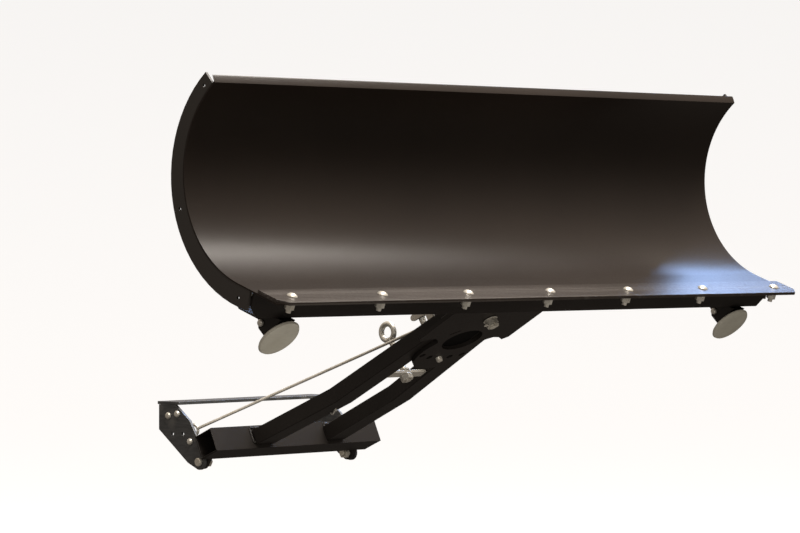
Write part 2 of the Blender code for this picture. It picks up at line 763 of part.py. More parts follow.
def release_gear():
    """Bell crank, its bracket and pin, and the pull rod back to the mount."""
    back, up = LEVER_PIVOT
    bracket_low, bracket_high = -0.0195, -0.0145
    foot = [
        (back - 0.014, HEAD_THICK + 2 * GAP),
        (back + 0.014, HEAD_THICK + 2 * GAP),
        *arc((back, up), 0.009, 0, pi, 8),
    ]
    bracket = add("lever_bracket", prism(foot, bracket_low, bracket_high), HEAD_SIDE, "lift_axis", painted)
    hole(bracket, at(HEAD_SIDE, back, up, bracket_low), 0.0043, -0.02, 0.02, 12)
    lever_low, lever_high = -0.0260, -0.0200
    stud_back, stud_up = LOCK_REACH, up - 0.0005
    low_end = (back, up - LEVER_DROP)
    outline = [
        *arc((back, up), 0.009, pi / 2, pi, 4),
        *arc(low_end, 0.0085, pi, 2 * pi, 6),
        (back + 0.008, up - 0.010),
        *arc((stud_back, stud_up), 0.006, -pi / 2, pi / 2, 6),
    ]
    lever = add("release_lever", prism(outline, lever_low, lever_high), HEAD_SIDE, "lever_axis", zinc)
    hole(lever, at(HEAD_SIDE, back, up, lever_low), 0.0043, -0.02, 0.02, 12)
    eye = at(HEAD_SIDE, back, up - LEVER_DROP - 0.0012, lever_low)
    hole(lever, eye, ROD_R + 0.0016, -0.02, 0.02, 12)
    stud = rod(0.0025, lever_high - 0.003, -PIN_R - 0.0005, 10)
    joined("release_lever_stud", stud, at(HEAD_SIDE, stud_back, stud_up), lever)
    reach = [
        (0, lever_low - 0.004),
        (0.007, lever_low - 0.004),
        (0.007, lever_low - GAP),
        (0.004, lever_low - GAP),
        (0.004, bracket_high + GAP),
        (0.0065, bracket_high + GAP),
        (0.0065, bracket_high + 0.003),
        (0, bracket_high + 0.003),
    ]
    add("lever_pin", turned(reach, 12), at(HEAD_SIDE, back, up), "lift_axis", zinc)

    start = head_point(*low_end, ROD_X)
    line = ROD_END - start
    along = line.normalized()
    side = Vector(ACROSS).cross(along).normalized()
    place = frame(start, side, along.cross(side))
    pull = add("release_rod", rod(ROD_R, 0, line.length, 10), place, "rod_axis", zinc)
    hook = at(HEAD_SIDE, *low_end)
    joined("release_rod_hook", rod(ROD_R, ROD_X, lever_high + 0.0002, 10), hook, pull)
    ring = at(place, 0, 0, line.length + 0.010) @ Matrix.Rotation(pi / 2, 4, "X")
    joined("release_rod_ring", ring_around(0.012, ROD_R, 20, 8), ring, pull)


# ---- mount bracket ------------------------------------------------------------------------------
def mount_bracket():
    """Two side plates hung from a top plate that bolts under the vehicle."""
    top = -MOUNT_THICK - GAP
    pivot = (LIFT_POINT.y, LIFT_POINT.z)
    outline = [
        (0.026, top),
        (-0.021, top),
        (-0.0600, -0.036),
        (-0.092, -0.088),
        *arc(pivot, 0.0155, pi * 0.92, pi * 1.60, 8),
        (-0.055, -0.1190),
        (0.026, -0.056),
    ]
    place = frame((0, 0, 0), (0, 1, 0), (0, 0, 1))
    bolted = ((-0.001, -0.028), (-0.026, -0.024), (-0.062, -0.077))
    open_holes = ((-0.012, -0.064), (-0.041, -0.063))
    for name, side in (("left", -1), ("right", 1)):
        low, high = sorted((side * PLATE_IN, side * PLATE_OUT))
        plate = add(f"mount_side_plate_{name}", prism(outline, low, high), place, None, zinc)
        hole(plate, at(place, *pivot, side * PLATE_IN), LIFT_BOLT_R + GAP, -0.03, 0.03)
        outward = place @ Matrix.Rotation(0 if side > 0 else pi, 4, "X")
        for y, z in bolted + open_holes:
            hole(plate, at(place, y, z, side * PLATE_IN), 0.0038, -0.03, 0.03, 10)
        for number, (y, z) in enumerate(bolted, 1):
            screw = [
                (0, PLATE_IN - 0.008),
                (0.0035, PLATE_IN - 0.008),
                (0.0035, PLATE_OUT + GAP),
                (0.0070, PLATE_OUT + GAP),
                (0.0070, PLATE_OUT + 0.0018),
                (0.0050, PLATE_OUT + 0.0045),
                (0, PLATE_OUT + 0.0052),
            ]
            where = at(outward, y, z if side > 0 else -z)
            add(f"bracket_bolt_{name}_{number}", turned(screw, 14), where, None, zinc)
        bolt = [
            (0, EAR_IN - 0.016),
            (LIFT_BOLT_R, EAR_IN - 0.016),
            (LIFT_BOLT_R, PLATE_OUT + GAP),
            (0.0085, PLATE_OUT + GAP),
            (0.0085, PLATE_OUT + 0.0045),
            (0.0072, PLATE_OUT + 0.0058),
            (0, PLATE_OUT + 0.0062),
        ]
        where = at(outward, pivot[0], pivot[1] if side > 0 else -pivot[1])
        add(f"lift_bolt_{name}", turned(bolt, 18), where, None, zinc)
        nut = add(f"lift_nut_{name}", hex_bar(0.019, EAR_IN - 0.012, EAR_IN - GAP), where, None, zinc)
        hole(nut, at(where, 0, 0, EAR_IN - 0.01), LIFT_BOLT_R + GAP, -0.03, 0.03)
    half = PLATE_OUT
    top_outline = [
        (-half, -MOUNT_HALF_DEPTH),
        (half, -MOUNT_HALF_DEPTH),
        (half, MOUNT_HALF_DEPTH),
        (-half, MOUNT_HALF_DEPTH),
    ]
    top_plate = add("mount_top_plate", prism(top_outline, -MOUNT_THICK, 0), MOUNT_PLAN, None, zinc)
    for x in (-0.16, 0.16):
        for y in (-0.014, 0.014):
            hole(top_plate, Matrix.Translation((x, y, 0)), 0.0052, -0.03, 0.03, 12)


# ---- the object ---------------------------------------------------------------------------------
def axes():
    """Empties on each joint's axis, which hold the moving pieces."""
    empty("lift_axis", Matrix.Translation(LIFT_POINT))
    empty("swivel_axis", HEAD_PLAN, "lift_axis")
    empty("lock_axis", at(HEAD_PLAN, 0, LOCK_REACH), "lift_axis")
    empty("lever_axis", Matrix.Translation(head_point(*LEVER_PIVOT)), "lift_axis")
    rod_pivot = head_point(LEVER_PIVOT[0], LEVER_PIVOT[1] - LEVER_DROP)
    empty("rod_axis", Matrix.Translation(rod_pivot), "lift_axis")
    empty("trip_axis", Matrix.Translation(head_point(*HINGE)), "swivel_axis")
    empty("shoe_axis_left", shoe_frame(-1), "trip_axis")
    empty("shoe_axis_right", shoe_frame(1), "trip_axis")


for old in list(bpy.data.objects):
    bpy.data.objects.remove(old, do_unlink=True)

axes()
mount_bracket()
push_arms()
cross_tube()
pivot_ears()
head_plate()
cross_plate()
lifting_eye()
swivel_bolt()
lock_pin()
release_gear()
sector_plate()
yoke_cheeks()
cross_bolt("trip_hinge_pin", HINGE_R, 0.009, CHEEK_OUT + GAP, at(HEAD_SIDE, *HINGE), "swivel_axis")
cross_bolt("spring_anchor_bolt", 0.005, 0.009, CHEEK_OUT + GAP, at(HEAD_SIDE, *ANCHOR), "swivel_axis")
trip_springs()
moldboard()
cutting_edge()
edge_bolts()
end_ribs()
bottom_beam()
centre_ribs()
spring_bar()
skid_shoes()
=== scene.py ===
"""The looks of the ATV plow blade: materials, welds, springs and small fittings round the CAD frame."""

import json
from math import cos, pi, radians, sin

import bmesh
import bpy
from mathutils import Matrix, Vector


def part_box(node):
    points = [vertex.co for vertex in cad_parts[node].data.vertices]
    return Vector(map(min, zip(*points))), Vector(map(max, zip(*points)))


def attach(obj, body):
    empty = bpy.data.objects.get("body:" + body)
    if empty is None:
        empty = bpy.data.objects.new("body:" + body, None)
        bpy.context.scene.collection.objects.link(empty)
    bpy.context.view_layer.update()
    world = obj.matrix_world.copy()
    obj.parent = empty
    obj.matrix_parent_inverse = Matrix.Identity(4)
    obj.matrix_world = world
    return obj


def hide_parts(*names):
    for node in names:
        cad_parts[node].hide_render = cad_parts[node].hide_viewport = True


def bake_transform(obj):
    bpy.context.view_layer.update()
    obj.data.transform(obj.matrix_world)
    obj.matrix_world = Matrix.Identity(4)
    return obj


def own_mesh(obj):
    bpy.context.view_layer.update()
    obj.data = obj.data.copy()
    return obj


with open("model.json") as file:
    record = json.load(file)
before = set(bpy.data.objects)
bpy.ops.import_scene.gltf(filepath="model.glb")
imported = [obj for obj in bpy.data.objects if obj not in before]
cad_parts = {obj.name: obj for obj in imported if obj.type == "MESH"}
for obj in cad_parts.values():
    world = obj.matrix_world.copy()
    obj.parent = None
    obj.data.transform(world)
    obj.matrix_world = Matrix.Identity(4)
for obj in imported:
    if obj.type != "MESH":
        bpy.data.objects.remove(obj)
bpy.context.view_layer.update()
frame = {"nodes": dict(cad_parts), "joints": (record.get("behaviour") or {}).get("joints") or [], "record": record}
NODES = frame["nodes"]
JOINTS = {joint["name"]: joint for joint in frame["joints"]}
SCENE = bpy.context.scene

# ---- where things are, worked out from the frame ------------------------------------------------
HEAD_UP = Vector(JOINTS["swivel_hinge"]["axis"]).normalized()
HEAD_BACK = Vector((0, HEAD_UP.z, -HEAD_UP.y))
HEAD_POINT = Vector(JOINTS["swivel_hinge"]["pos_m"])
LIFT = Vector(JOINTS["lift_hinge"]["pos_m"])
ACROSS = Vector((1, 0, 0))

EDGE_SLOPE = radians(19.8)
EDGE_BACK = Vector((0, cos(EDGE_SLOPE), sin(EDGE_SLOPE)))
EDGE_UP = Vector((0, -sin(EDGE_SLOPE), cos(EDGE_SLOPE)))


def middle(node):
    """The centre of a CAD node, in the part's frame."""
    low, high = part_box(node)
    return (low + high) / 2


def head_point(back, up, x=0.0):
    """A point from distances in the plane of the swivel, as the CAD source measures them."""
    return HEAD_POINT + Vector((x, 0, 0)) + back * HEAD_BACK + up * HEAD_UP


# ---- node building ------------------------------------------------------------------------------
class Tree:
    """A material's node tree with short ways to add and join nodes."""

    def __init__(self, name):
        self.material = bpy.data.materials.new(name)
        self.material.use_nodes = True
        self.tree = self.material.node_tree
        self.shader = self.tree.nodes["Principled BSDF"]
        self.place = self.add("ShaderNodeTexCoord").outputs["Object"]

    def add(self, kind, **settings):
        """Make a node with its settings."""
        made = self.tree.nodes.new(kind)
        for key, value in settings.items():
            setattr(made, key, value)
        return made

    def join(self, source, target):
        """Link an output to an input."""
        self.tree.links.new(source, target)

    def noise(self, scale, detail=4.0, roughness=0.55, stretch=None, distortion=0.0):
        """Smooth noise over the object, from 0 to 1."""
        made = self.add("ShaderNodeTexNoise")
        made.inputs["Scale"].default_value = scale
        made.inputs["Detail"].default_value = detail
        made.inputs["Roughness"].default_value = roughness
        made.inputs["Distortion"].default_value = distortion
        place = self.place
        if stretch:
            mapping = self.add("ShaderNodeMapping")
            mapping.inputs["Scale"].default_value = stretch
            self.join(self.place, mapping.inputs["Vector"])
            place = mapping.outputs["Vector"]
        self.join(place, made.inputs["Vector"])
        return made.outputs["Fac"]

    def cells(self, scale, feature="F1"):
        """Distance in a pattern of cells."""
        made = self.add("ShaderNodeTexVoronoi", feature=feature)
        made.inputs["Scale"].default_value = scale
        self.join(self.place, made.inputs["Vector"])
        return made.outputs["Distance"]

    def span(self, value, low, high, new_low=0.0, new_high=1.0):
        """Map one range of a value onto another."""
        made = self.add("ShaderNodeMapRange")
        self.join(value, made.inputs["Value"])
        for key, number in zip(("From Min", "From Max", "To Min", "To Max"), (low, high, new_low, new_high)):
            made.inputs[key].default_value = number
        return made.outputs["Result"]

    def sum(self, operation, first, second):
        """One step of arithmetic on two values or outputs."""
        made = self.add("ShaderNodeMath", operation=operation)
        for socket, item in zip(made.inputs, (first, second)):
            if isinstance(item, (int, float)):
                socket.default_value = item
            else:
                self.join(item, socket)
        return made.outputs["Value"]

    def mix(self, share, first, second):
        """Blend two colours by a share."""
        made = self.add("ShaderNodeMix", data_type="RGBA")
        self.join(share, made.inputs["Factor"])
        for socket, item in ((made.inputs[6], first), (made.inputs[7], second)):
            if isinstance(item, tuple):
                socket.default_value = (*item, 1)
            else:
                self.join(item, socket)
        return made.outputs[2]

    def along(self, direction, origin):
        """Distance along a direction from a point, in metres."""
        shifted = self.add("ShaderNodeVectorMath", operation="SUBTRACT")
        self.join(self.place, shifted.inputs[0])
        shifted.inputs[1].default_value = origin
        made = self.add("ShaderNodeVectorMath", operation="DOT_PRODUCT")
        self.join(shifted.outputs["Vector"], made.inputs[0])
        made.inputs[1].default_value = direction
        return made.outputs["Value"]

    def bump(self, height, strength, distance):
        """Raise fine relief in the shading from a height."""
        made = self.add("ShaderNodeBump")
        made.inputs["Strength"].default_value = strength
        made.inputs["Distance"].default_value = distance
        self.join(height, made.inputs["Height"])
        self.join(made.outputs["Normal"], self.shader.inputs["Normal"])

    def set(self, **values):
        """Fill in the surface's own inputs by name."""
        for key, value in values.items():
            socket = self.shader.inputs[key.replace("_", " ")]
            if isinstance(value, bpy.types.NodeSocket):
                self.join(value, socket)
            else:
                socket.default_value = (*value, 1) if isinstance(value, tuple) else value


# ---- materials ----------------------------------------------------------------------------------
def powder_coat(name, dark, light, rough=(0.40, 0.52), specular=0.28, dust=0.25):
    """Black powder coat: orange peel, faint handling marks and a little settled dust."""
    t = Tree(name)
    broad = t.span(t.noise(2.6, 5), 0.35, 0.68)
    fine = t.span(t.noise(240, 3), 0.30, 0.70)
    colour = t.mix(broad, dark, light)
    specks = t.span(t.cells(140), 0.030, 0.012)
    patches = t.span(t.noise(9, 4), 0.50, 0.70)
    marks = t.sum("MULTIPLY", t.sum("MULTIPLY", specks, patches), dust * 3)
    streaks = t.span(t.noise(26, 7, stretch=(0.5, 9, 9)), 0.60, 0.80, 0, dust * 0.6)
    worn = t.sum("MAXIMUM", marks, streaks)
    haze = t.span(t.noise(5, 4, stretch=(0.35, 1, 1)), 0.30, 0.70, -0.012, 0.012)
    t.set(
        Base_Color=t.mix(worn, colour, (0.13, 0.115, 0.10)),
        Roughness=t.sum("ADD", t.sum("ADD", t.span(fine, 0, 1, *rough), haze), t.sum("MULTIPLY", worn, 0.2)),
        Specular_IOR_Level=specular,
    )
    peel = t.noise(1100, 2, 0.5)
    t.bump(peel, 0.07, 0.0005)
    return t.material


def scraped_bar(name, tip_point):
    """The cutting edge: black paint with a line along its face, fine scratches and a few chips at its lip."""
    t = Tree(name)
    base = t.mix(t.span(t.noise(6, 5), 0.3, 0.7), (0.0165, 0.0125, 0.0100), (0.0235, 0.0180, 0.0145))
    inward = t.along(EDGE_BACK, tip_point)
    chips = t.sum("MULTIPLY", t.span(t.cells(210), 0.16, 0.09), t.span(t.noise(17, 3), 0.60, 0.66))
    near = t.span(inward, 0.006, 0.001)
    bare = t.sum("MULTIPLY", chips, near)
    scratch = t.span(t.noise(30, 8, 0.7, stretch=(0.22, 9, 9)), 0.62, 0.72, 0, 0.30)
    rubbed = t.sum("MULTIPLY", t.span(t.noise(60, 5), 0.56, 0.66), t.span(inward, 0.003, 0.0))
    lines = t.span(t.noise(9, 4, 0.55, stretch=(0.05, 26, 26)), 0.50, 0.66, 0, 0.75)
    scratch = t.sum("MAXIMUM", scratch, lines)
    paint = t.mix(t.sum("MAXIMUM", scratch, t.sum("MULTIPLY", rubbed, 0.5)), base, (0.075, 0.068, 0.062))
    t.set(
        Base_Color=t.mix(bare, paint, (0.42, 0.38, 0.33)),
        Metallic=t.sum("MULTIPLY", bare, 0.6),
        Roughness=t.span(t.noise(160, 4), 0.3, 0.7, 0.32, 0.42),
        Specular_IOR_Level=0.30,
    )
    t.bump(t.sum("ADD", t.noise(600, 3), t.sum("MULTIPLY", scratch, -2.0)), 0.16, 0.0006)
    return t.material


def plated(name, bright, dull, rough=(0.24, 0.42), metallic=0.9, warm=(0.60, 0.56, 0.46)):
    """Zinc plating: mottled crystals, a yellow passivate tint and a few dull stains."""
    t = Tree(name)
    mottle = t.span(t.noise(55, 5), 0.35, 0.65)
    tint = t.span(t.noise(14, 3), 0.45, 0.75, 0, 0.55)
    colour = t.mix(tint, t.mix(mottle, bright, dull), warm)
    stains = t.span(t.noise(120, 3), 0.62, 0.75, 0, 0.5)
    t.set(
        Base_Color=t.mix(stains, colour, (0.20, 0.19, 0.17)),
        Metallic=metallic,
        Roughness=t.span(mottle, 0, 1, *rough),
    )
    t.bump(t.noise(700, 3), 0.10, 0.0004)
    return t.material


def shoe_plate(name):
    """A skid shoe's dull plate, with faint circular scuffs and stains."""
    t = Tree(name)
    scuffs = t.span(t.noise(60, 8, 0.7, stretch=(1, 5, 5)), 0.52, 0.72)
    broad = t.span(t.noise(22, 4), 0.3, 0.7)
    colour = t.mix(broad, (0.315, 0.305, 0.255), (0.365, 0.355, 0.305))
    t.set(
        Base_Color=t.mix(t.sum("MULTIPLY", scuffs, 0.6), colour, (0.265, 0.255, 0.220)),
        Metallic=0.15,
        Roughness=t.span(scuffs, 0, 1, 0.46, 0.58),
        Specular_IOR_Level=0.35,
    )
    t.bump(t.sum("ADD", t.noise(400, 4), t.sum("MULTIPLY", scuffs, 0.5)), 0.08, 0.0005)
    return t.material


def bracket_steel(name):
    """Dark satin steel plate, with rolled grain and rubbed places."""
    t = Tree(name)
    grain = t.noise(30, 7, 0.65, stretch=(1, 1, 12))
    rubbed = t.span(t.noise(20, 5), 0.50, 0.75)
    colour = t.mix(t.span(grain, 0.35, 0.65), (0.050, 0.052, 0.054), (0.085, 0.088, 0.090))
    t.set(
        Base_Color=t.mix(rubbed, colour, (0.14, 0.14, 0.135)),
        Metallic=0.45,
        Roughness=t.span(grain, 0.3, 0.7, 0.36, 0.50),
    )
    t.bump(t.noise(420, 3), 0.10, 0.0005)
    return t.material


PAINT = powder_coat(
    "black_powder_coat", (0.0105, 0.0074, 0.0056), (0.0145, 0.0105, 0.0080), (0.33, 0.39), 0.22, 0.05
)
FRAME_PAINT = powder_coat(
    "frame_powder_coat", (0.0095, 0.0080, 0.0070), (0.014, 0.012, 0.0105), (0.42, 0.50), 0.22, 0.10
)
RIB_PAINT = powder_coat(
    "rib_powder_coat", (0.024, 0.0215, 0.0195), (0.030, 0.027, 0.024), (0.46, 0.54), 0.30, 0.06
)
# Head plate: near-black matt paint, darker than the rest of the frame. This is painted shade, so the oval opening
# in the swivel reads dark as if in shadow.
PAINTED_SHADE_BLACK = powder_coat(
    "painted_shade_matt_black", (0.0032, 0.0030, 0.0028), (0.0048, 0.0045, 0.0042), (0.70, 0.80), 0.06, 0.05
)
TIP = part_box("cutting_edge")[0]
BAR = scraped_bar("scraped_edge_bar", (0, TIP.y, middle("cutting_edge").z - 0.011))
ZINC = plated("zinc_plate", (0.70, 0.68, 0.62), (0.50, 0.48, 0.42), (0.26, 0.40), 0.55)
SPRING_STEEL = plated(
    "oiled_spring_steel", (0.16, 0.16, 0.165), (0.09, 0.09, 0.095), (0.30, 0.46), 0.85, (0.16, 0.13, 0.09)
)
SHOE = shoe_plate("scuffed_shoe_plate")
BRACKET = bracket_steel("satin_bracket_steel")

SLOT_LOOKS = {
    "black_paint": FRAME_PAINT,
    "zinc_plate": ZINC,
    "shoe_plate": SHOE,
    "bracket_steel": BRACKET,
    "spring_steel": SPRING_STEEL,
}
NODE_LOOKS = {
    "moldboard": PAINT,
    "cutting_edge": BAR,
    "end_rib_left": RIB_PAINT,
    "end_rib_right": RIB_PAINT,
    # the head plate gets the painted shade black
    "head_plate": PAINTED_SHADE_BLACK,
}
SLOT_OF = {row["node"]: row["material_slot"] for row in frame["record"]["subparts"]}


def soften_edges(node, width):
    """Rounds the edges of a CAD node with modifiers, leaving its mesh as it is."""
    mesh = node.data
    if "custom_normal" in mesh.attributes:
        mesh.attributes.remove(mesh.attributes["custom_normal"])
    mesh.shade_smooth()
    mesh.set_sharp_from_angle(angle=radians(32))
    weld = node.modifiers.new("weld", "WELD")
    weld.merge_threshold = 0.00001
    bevel = node.modifiers.new("round_edges", "BEVEL")
    bevel.width = width
    bevel.segments = 2
    bevel.limit_method = "ANGLE"
    bevel.angle_limit = radians(40)
    bevel.harden_normals = True
    bevel.use_clamp_overlap = True


ROUNDING = {"push_arm": 0.0022, "cross_tube": 0.0022, "moldboard": 0.0005, "sector": 0.0010}


def dress_nodes():
    """Give every CAD node its material and a small rounding of its edges."""
    for name, node in NODES.items():
        look = NODE_LOOKS.get(name, SLOT_LOOKS[SLOT_OF[name]])
        node.data.materials.clear()
        node.data.materials.append(look)
        width = next((w for start, w in ROUNDING.items() if name.startswith(start)), 0.0007)
        soften_edges(node, width)


dress_nodes()


# ---- small pieces built round the frame ----------------------------------------------------------
EDGE_ROW = Vector((0, -0.800, 0.2197))
TIP_LINE = EDGE_ROW + Vector((0, -0.028, -0.012))
CURL_CENTRE = EDGE_ROW + Vector((0, 0.009, 0.219))
SHEET_BACK = 0.2083  # from the centre of the curl to the back of the sheet
ANCHOR = (-0.0068, 0.0578)
SPRING_BAR = Vector((0, 0.253, 0.043))
SPRING_X = 0.050
TUBE_SIDE = 0.048
ARM_PITCH = radians(24)
TUBE_POINT = EDGE_ROW + Vector((0, 0.678, -0.298))
TUBE_BACK = Vector((0, cos(ARM_PITCH), -sin(ARM_PITCH)))
TUBE_UP = Vector((0, sin(ARM_PITCH), cos(ARM_PITCH)))
ARM_FRONT, ARM_BEND = 0.034, 0.346
ARM_TALL = 0.031


def arm_middle(back):
    """How far an arm's centre line stands from the middle: the arms spread toward the back."""
    return 0.0605 + (back - ARM_FRONT) * 0.078


def edge_point(back, up, x=0.0):
    """A point in the flat frame of the blade's straight bottom stretch."""
    return TIP_LINE + Vector((x, 0, 0)) + back * EDGE_BACK + up * EDGE_UP


def curl_point(radius, angle, x=0.0):
    """A point by its direction from the centre of the curl; 0 is straight back and 90 degrees is down."""
    return CURL_CENTRE + Vector((x, radius * cos(angle), -radius * sin(angle)))


def tube_point(back, up, x=0.0):
    """A point in the plane of the rear cross tube."""
    return TUBE_POINT + Vector((x, 0, 0)) + back * TUBE_BACK + up * TUBE_UP


def finish_piece(name, shape, look, body):
    """Turns a bmesh into a piece with its material and body."""
    bmesh.ops.recalc_face_normals(shape, faces=shape.faces)
    mesh = bpy.data.meshes.new(name)
    shape.to_mesh(mesh)
    shape.free()
    mesh.shade_smooth()
    mesh.set_sharp_from_angle(angle=radians(50))
    mesh.materials.append(look)
    piece = bpy.data.objects.new(name, mesh)
    SCENE.collection.objects.link(piece)
    if body:
        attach(piece, body)
    return piece


def sweep(shape, path, radii, sides=8):
    """Adds a round tube along a path, closed at both ends."""
    rings = []
    across = None
    for i, (point, radius) in enumerate(zip(path, radii)):
        ahead = path[min(i + 1, len(path) - 1)]
        behind = path[max(i - 1, 0)]
        direction = (ahead - behind).normalized()
        if across is None:
            across = direction.orthogonal().normalized()
        across = (across - direction * across.dot(direction)).normalized()
        other = direction.cross(across)
        ring = []
        for k in range(sides):
            turn = 2 * pi * k / sides
            ring.append(shape.verts.new(point + radius * (cos(turn) * across + sin(turn) * other)))
        rings.append(ring)
    for first, second in zip(rings, rings[1:]):
        for k in range(sides):
            m = (k + 1) % sides
            shape.faces.new((first[k], first[m], second[m], second[k]))
    shape.faces.new(rings[0])
    shape.faces.new(rings[-1][::-1])


def bead(shape, start, stop, size=0.0026, ripple=0.0030):
    """A weld bead between two points: a tube whose thickness swells once for each puddle."""
    length = (stop - start).length
    steps = max(6, int(length / ripple * 4))
    path, radii = [], []
    for i in range(steps + 1):
        share = i / steps
        at = share * length
        wave = 0.5 + 0.5 * cos(2 * pi * at / ripple)
        wander = 0.00025 * sin(at * 310) + 0.0002 * sin(at * 127 + 1)
        end = min(1.0, min(at, length - at) / 0.002 + 0.35)
        path.append(start.lerp(stop, share) + Vector((0, 0, wander)))
        radii.append(size * (0.86 + 0.18 * wave) * end)
    sweep(shape, path, radii, 7)


def weld(name, lines, body, size=0.0026):
    """One weld piece, with a bead along each line."""
    shape = bmesh.new()
    for start, stop in lines:
        bead(shape, start, stop, size)
    return finish_piece(name, shape, WELD_PAINT, body)


WELD_PAINT = powder_coat(
    "weld_powder_coat", (0.011, 0.0095, 0.0085), (0.016, 0.014, 0.0125), (0.38, 0.46), 0.26, 0.10
)


def chord(radius, start, stop, x, pieces):
    """Straight stretches that follow an arc round the centre of the curl."""
    marks = [start + (stop - start) * i / pieces for i in range(pieces + 1)]
    return [(curl_point(radius, a, x), curl_point(radius, b, x)) for a, b in zip(marks, marks[1:])]


def frame_welds():
    """The arms' and ears' welds to the cross tube and the head."""
    front = -TUBE_SIDE / 2
    low, high = arm_ends()
    for name, side in (("left", -1), ("right", 1)):
        middle_x = side * arm_middle(ARM_BEND + 0.270)
        near, far = middle_x - 0.024, middle_x + 0.024
        lines = [
            (tube_point(front, low, near), tube_point(front, low, far)),
            (tube_point(front, high, near), tube_point(front, high, far)),
            (tube_point(front, low, near), tube_point(front, high, near)),
            (tube_point(front, low, far), tube_point(front, high, far)),
        ]
        weld(f"weld_arm_{name}", lines, "push_frame", 0.0028)
        lines = []
        for x in (0.204, 0.212):
            lines.append((tube_point(-front, -0.020, side * x), tube_point(-front, 0.018, side * x)))
        weld(f"weld_ear_{name}", lines, "push_frame")
        inner = []
        for back in (0.040, 0.090, 0.140):
            a, b = side * (arm_middle(back) - 0.024), side * (arm_middle(back + 0.032) - 0.024)
            inner.append((head_point(back, 0.0082, a), head_point(back + 0.032, 0.0082, b)))
        weld(f"weld_head_plate_{name}", inner, "push_frame", 0.0024)


def arm_ends():
    """The height of an arm's bottom and top where it meets the cross tube."""
    box_low, box_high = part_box("push_arm_left")
    rear = Vector((0, box_high.y, box_low.z))
    low = (rear - TUBE_POINT).dot(TUBE_UP)
    return low, low + ARM_TALL


def swivel_welds():
    """The yoke cheeks' outer welds to the swivel; the centre ribs sweep past the inner side."""
    for name, side in (("left", -1), ("right", 1)):
        lines = [
            (head_point(-0.056, 0.0006, side * 0.124), head_point(0.010, 0.0006, side * 0.124)),
        ]
        weld(f"weld_cheek_{name}", lines, "swivel", 0.0023)


def blade_welds():
    """Stitch welds of the ribs, the bottom beam and the shoe brackets."""
    for name, side in (("left", -1), ("right", 1)):
        inner_x = side * (0.75 - 0.005)
        lines = []
        for centre in (-40, -18, 4, 26, 48):
            lines += chord(SHEET_BACK + 0.0006, radians(centre - 4), radians(centre + 4), inner_x, 3)
        weld(f"weld_end_rib_{name}", lines, "blade", 0.0022)
        lines = []
        for x in (0.106, 0.114):
            for centre in (-22, -4, 14, 32, 50):
                lines += chord(SHEET_BACK + 0.0006, radians(centre - 4), radians(centre + 4), side * x, 3)
        weld(f"weld_centre_rib_{name}", lines, "blade", 0.0022)
    lines = []
    for x in (-0.68, -0.55, -0.42, -0.29, -0.20, 0.17, 0.26, 0.39, 0.52, 0.65):
        lines.append((edge_point(0.0755, -0.0036, x), edge_point(0.0755, -0.0036, x + 0.03)))
    weld("weld_beam", lines, "blade", 0.0024)
    for name, side in (("left", -1), ("right", 1)):
        lines = []
        for offset in (-0.0185, 0.0185):
            x = side * 0.653 + offset
            lines.append((edge_point(0.078, -0.0526, x), edge_point(0.120, -0.0526, x)))
        weld(f"weld_shoe_bracket_{name}", lines, "blade", 0.0018)


def hook_path(centre, radius, start, stop, plane_a, plane_b, steps=20):
    """Points along an arc in the plane of two directions."""
    turns = [start + (stop - start) * i / steps for i in range(steps + 1)]
    return [centre + radius * (cos(a) * plane_a + sin(a) * plane_b) for a in turns]


def trip_springs():
    """Close-wound tension springs with a hook round each bar."""
    wire = 0.0016
    coil = 0.0094
    low = head_point(*ANCHOR)
    high = CURL_CENTRE + SPRING_BAR
    along = (high - low).normalized()
    side_on = along.cross(ACROSS).normalized()
    length = (high - low).length
    hook = 0.0072
    first, last = 0.0235, length - 0.0235
    turns = int((last - first) / (wire * 2.25))
    for name, side in (("left", -1), ("right", 1)):
        shape = bmesh.new()
        origin = low + Vector((side * SPRING_X, 0, 0))
        end = origin + along * length
        path = hook_path(origin, hook, radians(-200), radians(70), along, side_on)
        path.append(origin + along * 0.013 + side_on * 0.002)
        path.append(origin + along * 0.019 + side_on * 0.0005 + ACROSS * 0.004)
        steps = turns * 14
        for i in range(steps + 1):
            turn = 2 * pi * i / 14
            at = first + (last - first) * i / steps
            path.append(origin + along * at + coil * (cos(turn) * ACROSS + sin(turn) * side_on))
        path.append(end - along * 0.019 + side_on * 0.0005 + ACROSS * 0.004)
        path.append(end - along * 0.013 + side_on * 0.002)
        path += hook_path(end, hook, radians(110), radians(-160), along, side_on)
        sweep(shape, path, [wire] * len(path), 6)
        piece = finish_piece(f"trip_spring_coil_{name}", shape, SPRING_STEEL, None)
        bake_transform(piece)
        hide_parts(f"trip_spring_{name}")


def lock_spring():
    """The coil in the lock pin's housing."""
    low, high, coil, wire = 0.0142, 0.0492, 0.0080, 0.0012
    turns = 8
    steps = turns * 16
    shape = bmesh.new()
    path = []
    for i in range(steps + 1):
        turn = 2 * pi * i / 16
        up = low + (high - low) * i / steps
        path.append(head_point(0.152 + coil * sin(turn), up, coil * cos(turn)))
    sweep(shape, path, [wire] * len(path), 6)
    piece = finish_piece("lock_pin_coil", shape, SPRING_STEEL, "push_frame")
    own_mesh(piece)
    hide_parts("lock_pin_spring")


def cotter_pins():
    """A split pin through the castle nut on the swivel bolt."""
    centre = HEAD_POINT - 0.0215 * HEAD_UP
    shape = bmesh.new()
    path = [centre + a * ACROSS for a in (-0.0165, 0.0, 0.0160)]
    path.append(centre + 0.0175 * ACROSS + 0.005 * HEAD_BACK)
    sweep(shape, path, [0.0013] * len(path), 8)
    loop = centre - 0.0195 * ACROSS
    ring = hook_path(loop, 0.0030, 0, 2 * pi, ACROSS, HEAD_BACK, 14)
    sweep(shape, ring, [0.0010] * len(ring), 6)
    finish_piece("cotter_pin_swivel", shape, ZINC, "push_frame")


